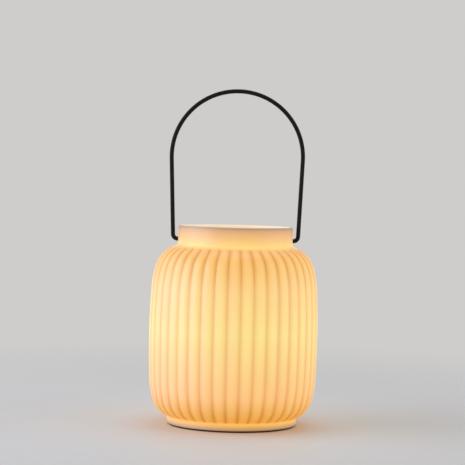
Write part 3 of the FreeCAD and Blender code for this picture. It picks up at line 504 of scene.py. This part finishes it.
def shade_rings():
    """Rings of the shade from the foot ring, up outside, over the lip and down inside.

    Each is (crest point, groove point, whether inside).
    """
    upper = outline_chain(UPPER_OUTLINE, math.pi / 2)
    lower = outline_chain(LOWER_OUTLINE, -math.pi / 2)
    shoulder_bend, heel_bend = upper[-1], lower[-1]
    neck_point, foot_point = UPPER_OUTLINE[-1], LOWER_OUTLINE[-1]
    floor_middle = (FLOOR_MIDDLE_RADIUS, FLOOR_Z)
    underside_middle = (FLOOR_MIDDLE_RADIUS, FLOOR_UNDERSIDE_Z)
    hole_top = (FLOOR_HOLE_RADIUS, FLOOR_Z)
    hole_bottom = (FLOOR_HOLE_RADIUS, FLOOR_UNDERSIDE_Z)
    rings = []

    def plain(points, inside):
        rings.extend((tuple(point), tuple(point), inside) for point in points)

    plain([(FOOT_BORE + FOOT_EDGE_ROUND, FOOT_Z)], False)
    foot_side = (FOOT_RADIUS, RIB_END_Z)
    foot_corner = (FOOT_RADIUS, FOOT_Z)
    plain(corner_round((FOOT_BORE, FOOT_Z), foot_corner, foot_side, FOOT_EDGE_ROUND), False)
    plain([(FOOT_RADIUS, height) for height in FOOT_SIDE_HEIGHTS], False)
    foot_heading = heel_bend.heading + heel_bend.turn
    blend_end = (FOOT_RADIUS, RIB_END_Z - FOOT_BLEND_DROP * FOOT_BLEND)
    blend = OutlineArc(foot_point, foot_heading, blend_end)
    plain([blend.point(1 - step / BLEND_STEPS) for step in range(BLEND_STEPS)], False)

    def ribbed(outline_arc, share):
        crest = outline_arc.point(share)
        depth = RIB_DEPTH * eased(math.dist(crest, neck_point) / RIB_FADE_TOP)
        depth *= eased(math.dist(crest, foot_point) / RIB_FADE_FOOT)
        rings.append((crest, outline_arc.point(share, depth), False))

    def outside_count(outline_arc, bend):
        return ring_count(outline_arc, bend, BEND_SPACING, SIDE_SPACING, FEWEST_OUTSIDE_RINGS)

    def inside_count(outline_arc, bend):
        return ring_count(outline_arc, bend, INSIDE_BEND_SPACING, INSIDE_SPACING, FEWEST_INSIDE_RINGS)

    for outline_arc in reversed(lower):
        count = outside_count(outline_arc, heel_bend)
        for step in range(count):
            lowest = outline_arc is heel_bend and step == 0
            ribbed(outline_arc, 1 - (LOWEST_RIBBED_STEP if lowest else step) / count)
    for outline_arc in upper:
        count = outside_count(outline_arc, shoulder_bend)
        for step in range(count):
            ribbed(outline_arc, step / count)

    neck_heading = shoulder_bend.heading + shoulder_bend.turn
    neck_blend_end = (NECK_RADIUS, NECK_Z + NECK_BLEND_RISE * NECK_BLEND)
    neck_blend = OutlineArc(neck_point, neck_heading, neck_blend_end)
    plain([neck_blend.point(step / BLEND_STEPS) for step in range(BLEND_STEPS + 1)], False)
    plain([(NECK_RADIUS, height) for height in NECK_SIDE_HEIGHTS], False)
    outer_lip, inner_lip = (NECK_RADIUS, RIM_Z), (NECK_BORE, RIM_Z)
    plain(corner_round((NECK_RADIUS, NECK_Z), outer_lip, inner_lip, LIP_ROUND), False)
    plain(corner_round(outer_lip, inner_lip, (NECK_BORE, NECK_Z), LIP_ROUND), True)
    plain([(NECK_BORE, height) for height in NECK_BORE_HEIGHTS], True)
    shoulder = shoulder_bend.point(1.0, WALL)
    bore_end = (NECK_BORE, shoulder[1] + NECK_INSIDE_BLEND)
    bore_blend = OutlineArc(shoulder, neck_heading, bore_end)
    plain([bore_blend.point(1 - step / BLEND_STEPS) for step in range(BLEND_STEPS)], True)
    for outline_arc in reversed(upper):
        count = inside_count(outline_arc, shoulder_bend)
        plain([outline_arc.point(1 - step / count, WALL) for step in range(count)], True)
    inner_bottom = [(WAIST_RADIUS - WALL, WAIST_Z)]
    for outline_arc in lower:
        count = inside_count(outline_arc, heel_bend)
        for step in range(1, count + 1):
            spot = outline_arc.point(step / count, WALL)
            if spot[1] > FLOOR_Z + FLOOR_CORNER_RISE:
                inner_bottom.append(spot)
    plain(inner_bottom, True)
    corner = (inner_bottom[-1][0] - FLOOR_CORNER_STEP, FLOOR_Z)
    plain(corner_round(inner_bottom[-1], corner, (0, FLOOR_Z), FLOOR_CORNER_ROUND)[1:], True)
    plain([(radius, FLOOR_Z) for radius in FLOOR_RADII], True)
    hole_edge = (FLOOR_HOLE_EDGE_ROUND, HOLE_EDGE_STEPS)
    plain(corner_round(floor_middle, hole_top, hole_bottom, *hole_edge), True)
    plain(corner_round(hole_top, hole_bottom, underside_middle, *hole_edge), True)
    plain([(radius, FLOOR_UNDERSIDE_Z) for radius in UNDERSIDE_RADII], True)
    recess_corner = (FOOT_BORE, FLOOR_UNDERSIDE_Z)
    recess_edge = (UNDERSIDE_CORNER_ROUND, UNDERSIDE_CORNER_STEPS)
    plain(corner_round(underside_middle, recess_corner, (FOOT_BORE, FOOT_Z), *recess_edge), True)
    plain([(FOOT_BORE, height) for height in FOOT_BORE_HEIGHTS], True)
    plain([
        (FOOT_BORE, FOOT_Z + BORE_EDGE_ROUND),
        (FOOT_BORE + BORE_EDGE_MIDDLE, FOOT_Z + BORE_EDGE_MIDDLE),
        (FOOT_BORE + BORE_EDGE_ROUND, FOOT_Z),
    ], True)
    return rings


def shade_mesh(rings):
    """Closed mesh through the rings, with the inside on the second material slot."""
    around = RIB_COUNT * POINTS_PER_RIB
    mesh = bpy.data.meshes.new("shade_porcelain")
    points = []
    for crest, groove, _ in rings:
        for index in range(around):
            angle = 2 * math.pi * index / around - math.pi / 2
            phase = (index / POINTS_PER_RIB + 0.5) % 1 * 2 - 1
            depth = smooth_groove(phase)
            radius = crest[0] + (groove[0] - crest[0]) * depth
            height = crest[1] + (groove[1] - crest[1]) * depth
            points.append((
                radius * math.cos(angle) * MM,
                radius * math.sin(angle) * MM,
                height * MM,
            ))
    faces = []
    for ring in range(len(rings)):
        here, there = ring * around, (ring + 1) % len(rings) * around
        for index in range(around):
            following = (index + 1) % around
            faces.append((here + index, here + following, there + following, there + index))
    mesh.from_pydata(points, [], faces)
    mesh.polygons.foreach_set(
        "material_index",
        [1 if rings[ring][2] else 0 for ring in range(len(rings)) for _ in range(around)],
    )
    mesh.polygons.foreach_set("use_smooth", [True] * len(faces))
    mesh.update()
    return mesh


def linked(name, mesh):
    """New object in the scene for a mesh."""
    item = bpy.data.objects.new(name, mesh)
    bpy.context.scene.collection.objects.link(item)
    return item


def cutter(name, build):
    """Scratch object whose mesh a function builds."""
    shape = bmesh.new()
    build(shape)
    mesh = bpy.data.meshes.new(name)
    shape.to_mesh(mesh)
    shape.free()
    return linked(name, mesh)


def bush_holes(shape):
    """Rod along X through both sides of the neck."""
    half_side = Matrix.Rotation(math.pi / BUSH_SIDES, 4, "Z")
    along_x = Matrix.Rotation(math.pi / 2, 4, "Y")
    bmesh.ops.create_cone(
        shape,
        cap_ends=True,
        segments=BUSH_SIDES,
        radius1=BUSH_RADIUS * MM,
        radius2=BUSH_RADIUS * MM,
        depth=2 * WAIST_RADIUS * MM,
        matrix=Matrix.Translation((0, 0, PIVOT_Z * MM)) @ along_x @ half_side,
    )


def inlet_hole(shape):
    """Square prism with rounded top corners through the back of the foot ring."""
    corner = (INLET_HALF_WIDTH, INLET_TOP_Z)
    right = corner_round((INLET_HALF_WIDTH, 0), corner, (0, INLET_TOP_Z), INLET_CORNER_ROUND)
    left = [(-x, z) for x, z in reversed(right)]
    outline = [(INLET_HALF_WIDTH, 0.0)] + right + left + [(-INLET_HALF_WIDTH, 0.0)]
    near = [shape.verts.new((x * MM, INLET_CUT_START_Y * MM, z * MM)) for x, z in outline]
    face = shape.faces.new(near)
    grown = bmesh.ops.extrude_face_region(shape, geom=[face])
    moved = [item for item in grown["geom"] if isinstance(item, bmesh.types.BMVert)]
    bmesh.ops.translate(shape, verts=moved, vec=(0, INLET_CUT_LENGTH * MM, 0))
    bmesh.ops.recalc_face_normals(shape, faces=shape.faces)


def porcelain_shade():
    """The ribbed shade, with the handle's two holes and the cable inlet cut through."""
    shade = linked("shade_porcelain", shade_mesh(shade_rings()))
    shade.data.materials.append(porcelain_outside())
    shade.data.materials.append(porcelain_inside())
    tools = [cutter("bush_cutter", bush_holes), cutter("inlet_cutter", inlet_hole)]
    for tool in tools:
        cut = shade.modifiers.new(tool.name, "BOOLEAN")
        cut.operation = "DIFFERENCE"
        cut.solver = "EXACT"
        cut.object = tool
    bpy.context.view_layer.update()
    evaluated = shade.evaluated_get(bpy.context.evaluated_depsgraph_get())
    cut_mesh = bpy.data.meshes.new_from_object(evaluated)
    shade.modifiers.clear()
    shade.data = cut_mesh
    for tool in tools:
        bpy.data.objects.remove(tool)
    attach(shade, "base")
    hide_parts("porcelain_shade")


# ---------------------------------------------------------------- wire handle

def arc_points(centre, radius, first, last, steps):
    """Points along an arc between two angles, without its last point."""
    angles = [first + (last - first) * step / steps for step in range(steps)]
    return [
        (centre[0] + radius * math.cos(angle), centre[1] + radius * math.sin(angle))
        for angle in angles
    ]


def handle_path():
    """Centre line of the wire in the XZ plane, from the -X end to the +X end."""
    corner = (HANDLE_CORNER_X, PIVOT_Z)
    to_corner = math.atan2(corner[1] - HANDLE_ARCH_Z, corner[0])
    reach = math.dist(corner, (0, HANDLE_ARCH_Z))
    arch_start = to_corner + math.acos(HANDLE_ARCH_RADIUS / reach)
    leg_heading = arch_start + math.pi / 2
    half_opening = (math.pi - leg_heading) / 2
    to_bend = HANDLE_BEND_RADIUS / math.tan(half_opening)
    bend_centre = (corner[0] - to_bend, PIVOT_Z + HANDLE_BEND_RADIUS)
    half = [
        (WIRE_END_X, PIVOT_Z),
        (WIRE_END_X + WIRE_END_STEP, PIVOT_Z),
        (corner[0] - to_bend - WIRE_BEND_LEAD, PIVOT_Z),
    ]
    half += arc_points(bend_centre, HANDLE_BEND_RADIUS, -math.pi / 2, arch_start, WIRE_BEND_STEPS)
    bend_end = (
        bend_centre[0] + HANDLE_BEND_RADIUS * math.cos(arch_start),
        bend_centre[1] + HANDLE_BEND_RADIUS * math.sin(arch_start),
    )
    leg_top = (
        HANDLE_ARCH_RADIUS * math.cos(arch_start),
        HANDLE_ARCH_Z + HANDLE_ARCH_RADIUS * math.sin(arch_start),
    )
    for step in range(WIRE_LEG_STEPS):
        share = step / WIRE_LEG_STEPS
        half.append(tuple(bend_end[i] + (leg_top[i] - bend_end[i]) * share for i in (0, 1)))
    arch_centre = (0, HANDLE_ARCH_Z)
    half += arc_points(arch_centre, HANDLE_ARCH_RADIUS, arch_start, math.pi / 2, WIRE_ARCH_STEPS)
    crown = (0.0, HANDLE_ARCH_Z + HANDLE_ARCH_RADIUS)
    other = [(-x, z) for x, z in half]
    return other + [crown] + half[::-1]


def wire_handle():
    """Round wire along the handle's path, with flat ends."""
    path = handle_path()
    points = []
    for index, (x, z) in enumerate(path):
        before = path[max(index - 1, 0)]
        after = path[min(index + 1, len(path) - 1)]
        heading = math.atan2(after[1] - before[1], after[0] - before[0])
        side = (-math.sin(heading), math.cos(heading))
        for corner in range(WIRE_SIDES):
            angle = 2 * math.pi * corner / WIRE_SIDES
            out = WIRE_RADIUS * math.cos(angle)
            points.append((
                (x + side[0] * out) * MM,
                WIRE_RADIUS * math.sin(angle) * MM,
                (z + side[1] * out) * MM,
            ))
    faces = []
    for ring in range(len(path) - 1):
        here, there = ring * WIRE_SIDES, (ring + 1) * WIRE_SIDES
        for corner in range(WIRE_SIDES):
            following = (corner + 1) % WIRE_SIDES
            faces.append((here + following, here + corner, there + corner, there + following))
    faces.append(tuple(range(WIRE_SIDES)))
    faces.append(tuple(range(len(points) - 1, len(points) - 1 - WIRE_SIDES, -1)))
    mesh = bpy.data.meshes.new("carrying_wire")
    mesh.from_pydata(points, [], faces)
    mesh.polygons.foreach_set("use_smooth", [True] * (len(faces) - 2) + [False] * 2)
    mesh.update()
    wire = linked("carrying_wire", mesh)
    wire.data.materials.append(powder_coat())
    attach(wire, "bail")
    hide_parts("bail_handle")


def powder_coat():
    """Satin black powder coat with a fine orange-peel surface."""
    material, tree, shader = new_material("powder_coat")
    colour = ramp(tree, noise(tree, 350, detail=3.0), [
        (0.3, (0.003, 0.003, 0.004, 1)),
        (0.7, (0.010, 0.010, 0.011, 1)),
    ])
    tree.links.new(colour, shader.inputs["Base Color"])
    uneven_roughness(tree, shader, noise(tree, 500), 0.42, 0.58)
    shader.inputs["Specular IOR Level"].default_value = 0.15
    bump(tree, shader, noise(tree, 900), FINE_RELIEF)
    return material


# ---------------------------------------------------------------- other materials

# Grains for each metre; depths in metres
PLASTIC_GRAIN = 700
PLASTIC_GRAIN_DEPTH = 0.00003
PLASTIC_ROUGHNESS_SPREAD = 0.06
TURNED_STRETCH = (1, 1, 12)
METAL_ROUGHNESS_SPREAD = 0.08
FELT_DEPTH = 0.0003


def plastic(name, dark, light, roughness, glow=None):
    """Moulded plastic or rubber with a fine grain and slight colour variation; a glow, where given, is
    painted light.
    """
    material, tree, shader = new_material(name)
    colour = ramp(tree, noise(tree, PLASTIC_GRAIN / 4, detail=3.0), [
        (0.35, (*dark, 1)),
        (0.65, (*light, 1)),
    ])
    tree.links.new(colour, shader.inputs["Base Color"])
    low, high = roughness - PLASTIC_ROUGHNESS_SPREAD, roughness + PLASTIC_ROUGHNESS_SPREAD
    uneven_roughness(tree, shader, noise(tree, PLASTIC_GRAIN), low, high)
    bump(tree, shader, noise(tree, PLASTIC_GRAIN), PLASTIC_GRAIN_DEPTH)
    if glow:
        shine(tree, shader, multiplied(tree, colour, (*glow, 1)))
    return material


def metal(name, dark, light, roughness):
    """Bare or plated metal with the fine level lines that turning leaves."""
    material, tree, shader = new_material(name)
    lines = noise(tree, 160, detail=4.0, roughness=0.6, stretch=TURNED_STRETCH)
    colour = ramp(tree, lines, [(0.3, (*dark, 1)), (0.7, (*light, 1))])
    tree.links.new(colour, shader.inputs["Base Color"])
    low, high = roughness - METAL_ROUGHNESS_SPREAD, roughness + METAL_ROUGHNESS_SPREAD
    uneven_roughness(tree, shader, lines, low, high)
    shader.inputs["Metallic"].default_value = 1.0
    bump(tree, shader, lines, FINE_RELIEF)
    return material


def felt():
    """Dense dark felt with short matted fibres."""
    material, tree, shader = new_material("pad_felt")
    fibres = noise(tree, 900, detail=6.0, roughness=0.7)
    colour = ramp(tree, fibres, [
        (0.3, (0.010, 0.010, 0.011, 1)),
        (0.75, (0.045, 0.043, 0.042, 1)),
    ])
    tree.links.new(colour, shader.inputs["Base Color"])
    uneven_roughness(tree, shader, fibres, 0.88, 0.98)
    shader.inputs["Sheen Weight"].default_value = 0.4
    bump(tree, shader, fibres, FELT_DEPTH)
    return material


def opal_globe():
    """Opal globe of the lit bulb, brighter and paler towards its top; the dimmer, warmer lower part is
    painted shade.
    """
    material, tree, shader = new_material("opal_globe")
    up = height_step(tree, place_of(tree)[2], GLOBE_GLOW_UP)
    shine(tree, shader, ramp(tree, up, [
        (0.0, (0.86, 0.48, 0.18, 1)),
        (0.5, (0.92, 0.66, 0.34, 1)),
        (1.0, (0.96, 0.86, 0.64, 1)),
    ]))
    frost = ramp(tree, noise(tree, 300), [
        (0.3, (0.24, 0.22, 0.19, 1)),
        (0.7, (0.30, 0.28, 0.24, 1)),
    ])
    tree.links.new(frost, shader.inputs["Base Color"])
    uneven_roughness(tree, shader, noise(tree, 400), 0.25, 0.35)
    return material


def dress_nodes():
    """Give each carried-over node its material."""
    rubber = plastic("black_rubber", (0.010, 0.010, 0.010), (0.022, 0.021, 0.021), 0.72)
    vinyl = plastic("black_vinyl", (0.008, 0.008, 0.008), (0.016, 0.016, 0.016), 0.45)
    nylon = plastic("clear_nylon", (0.62, 0.58, 0.50), (0.70, 0.66, 0.58), 0.38)
    # Painted light: the holder's glow stands in for the bulb's light falling on it
    holder = plastic(
        "holder_plastic", (0.66, 0.62, 0.54), (0.74, 0.70, 0.62), 0.50, glow=(0.25, 0.20, 0.12),
    )
    core = plastic("holder_ceramic", (0.68, 0.64, 0.58), (0.78, 0.75, 0.70), 0.65)
    # Painted light: the housing's glow stands in for the globe's light falling on it
    housing = plastic(
        "bulb_plastic", (0.74, 0.71, 0.65), (0.80, 0.77, 0.71), 0.32, glow=(0.30, 0.24, 0.14),
    )
    insulator = plastic("black_insulator", (0.012, 0.010, 0.012), (0.024, 0.020, 0.024), 0.15)
    phosphor = plastic("led_phosphor", (0.85, 0.60, 0.12), (0.95, 0.72, 0.20), 0.6)
    board = plastic("circuit_board", (0.02, 0.12, 0.05), (0.03, 0.18, 0.07), 0.4)
    zinc = metal("zinc_steel", (0.42, 0.42, 0.44), (0.62, 0.62, 0.64), 0.34)
    brass = metal("brass", (0.55, 0.38, 0.14), (0.74, 0.54, 0.24), 0.30)
    nickel = metal("cap_nickel", (0.58, 0.56, 0.52), (0.76, 0.74, 0.70), 0.24)
    aluminium = metal("board_aluminium", (0.66, 0.66, 0.66), (0.80, 0.80, 0.80), 0.38)
    finishes = {
        "base_pad": felt(),
        "cable_grommet": rubber,
        "floor_washer": rubber,
        "bail_bush_right": nylon,
        "bail_bush_left": nylon,
        "bail_end_cap_right": vinyl,
        "bail_end_cap_left": vinyl,
        "threaded_nipple": zinc,
        "nipple_nut": zinc,
        "lock_washer": zinc,
        "clamp_washer": zinc,
        "terminal_screw_left": zinc,
        "terminal_screw_right": zinc,
        "holder_cap": holder,
        "holder_sleeve": holder,
        "holder_insert": core,
        "thread_shell": brass,
        "centre_contact": brass,
        "side_contact": brass,
        "bulb_tip_contact": nickel,
        "bulb_insulator": insulator,
        "bulb_screw_cap": nickel,
        "bulb_housing": housing,
        "bulb_globe": opal_globe(),
        "led_board": aluminium,
        "led_chips": phosphor,
        "driver_board": board,
    }
    for name, finish in finishes.items():
        mesh = nodes[name].data
        mesh.materials.clear()
        mesh.materials.append(finish)


# ---------------------------------------------------------------- stage

BACKGROUND = srgb(206, 205, 203)
WORLD_LIGHT = (0.27, 0.28, 0.30, 1.0)
FLOOR_COLOUR = (0.80, 0.785, 0.735, 1.0)
FLOOR_SIZE = 14.0
FLOOR_FADE_START = 0.22
FLOOR_FADE_END = 0.9
LIGHTS_AIM = (0, 0, 0.12)


def seen_directly(tree):
    """1 for camera, glossy and transmission rays, else 0."""
    path = tree.nodes.new("ShaderNodeLightPath")
    seen = math_node(tree, "MAXIMUM", path.outputs["Is Camera Ray"], path.outputs["Is Glossy Ray"])
    return math_node(tree, "MAXIMUM", seen, path.outputs["Is Transmission Ray"])


def add_floor():
    """Large pale floor that fades into the background colour away from the lamp."""
    mesh = bpy.data.meshes.new("floor")
    half = FLOOR_SIZE / 2
    corners = [(-half, -half, 0), (half, -half, 0), (half, half, 0), (-half, half, 0)]
    mesh.from_pydata(corners, [], [(0, 1, 2, 3)])
    floor = linked("floor", mesh)
    material, tree, shader = new_material("floor")
    mesh.materials.append(material)
    x, y, _ = place_of(tree)
    x_squared = math_node(tree, "POWER", x, 2.0)
    y_squared = math_node(tree, "POWER", y, 2.0)
    distance = math_node(tree, "SQRT", math_node(tree, "ADD", x_squared, y_squared))
    shader.inputs["Base Color"].default_value = FLOOR_COLOUR
    shader.inputs["Roughness"].default_value = 0.55
    shader.inputs["Specular IOR Level"].default_value = 0.3
    fading = step_between(tree, distance, FLOOR_FADE_START, FLOOR_FADE_END)
    glow = tree.nodes.new("ShaderNodeEmission")
    glow.inputs["Color"].default_value = BACKGROUND
    mixed = tree.nodes.new("ShaderNodeMixShader")
    tree.links.new(math_node(tree, "MULTIPLY", fading, seen_directly(tree)), mixed.inputs[0])
    tree.links.new(shader.outputs[0], mixed.inputs[1])
    tree.links.new(glow.outputs[0], mixed.inputs[2])
    tree.links.new(mixed.outputs[0], tree.nodes["Material Output"].inputs["Surface"])


def add_world():
    """Soft even light from all around, with the plain background colour where it is seen."""
    world = bpy.data.worlds.new("studio")
    world.use_nodes = True
    bpy.context.scene.world = world
    tree = world.node_tree
    background = tree.nodes["Background"]
    colour = mix(tree, seen_directly(tree), WORLD_LIGHT, BACKGROUND)
    tree.links.new(colour, background.inputs["Color"])


def add_area(name, place, size, power, colour):
    """Square soft light at a place, aimed at the lamp."""
    data = bpy.data.lights.new(name, "AREA")
    data.size = size
    data.energy = power
    data.color = colour
    lamp = bpy.data.objects.new(name, data)
    lamp.location = place
    aim = Vector(LIGHTS_AIM) - Vector(place)
    lamp.rotation_euler = aim.to_track_quat("-Z", "Y").to_euler()
    bpy.context.scene.collection.objects.link(lamp)


def add_lights():
    """Soft daylight from the left, a weaker fill from the right and a little from above."""
    add_area("key_left", (-1.6, -0.35, 0.60), 2.0, 28.0, (0.74, 0.78, 1.0))
    add_area("fill_right", (1.6, -0.35, 0.60), 2.0, 10.5, (0.84, 0.82, 1.0))
    add_area("top", (0.1, 0.3, 1.8), 1.2, 7.0, (1.0, 1.0, 1.0))


# ---------------------------------------------------------------- build

add_camera()
porcelain_shade()
wire_handle()
dress_nodes()
add_floor()
add_world()
add_lights()
bpy.context.scene.view_settings.view_transform = "Standard"
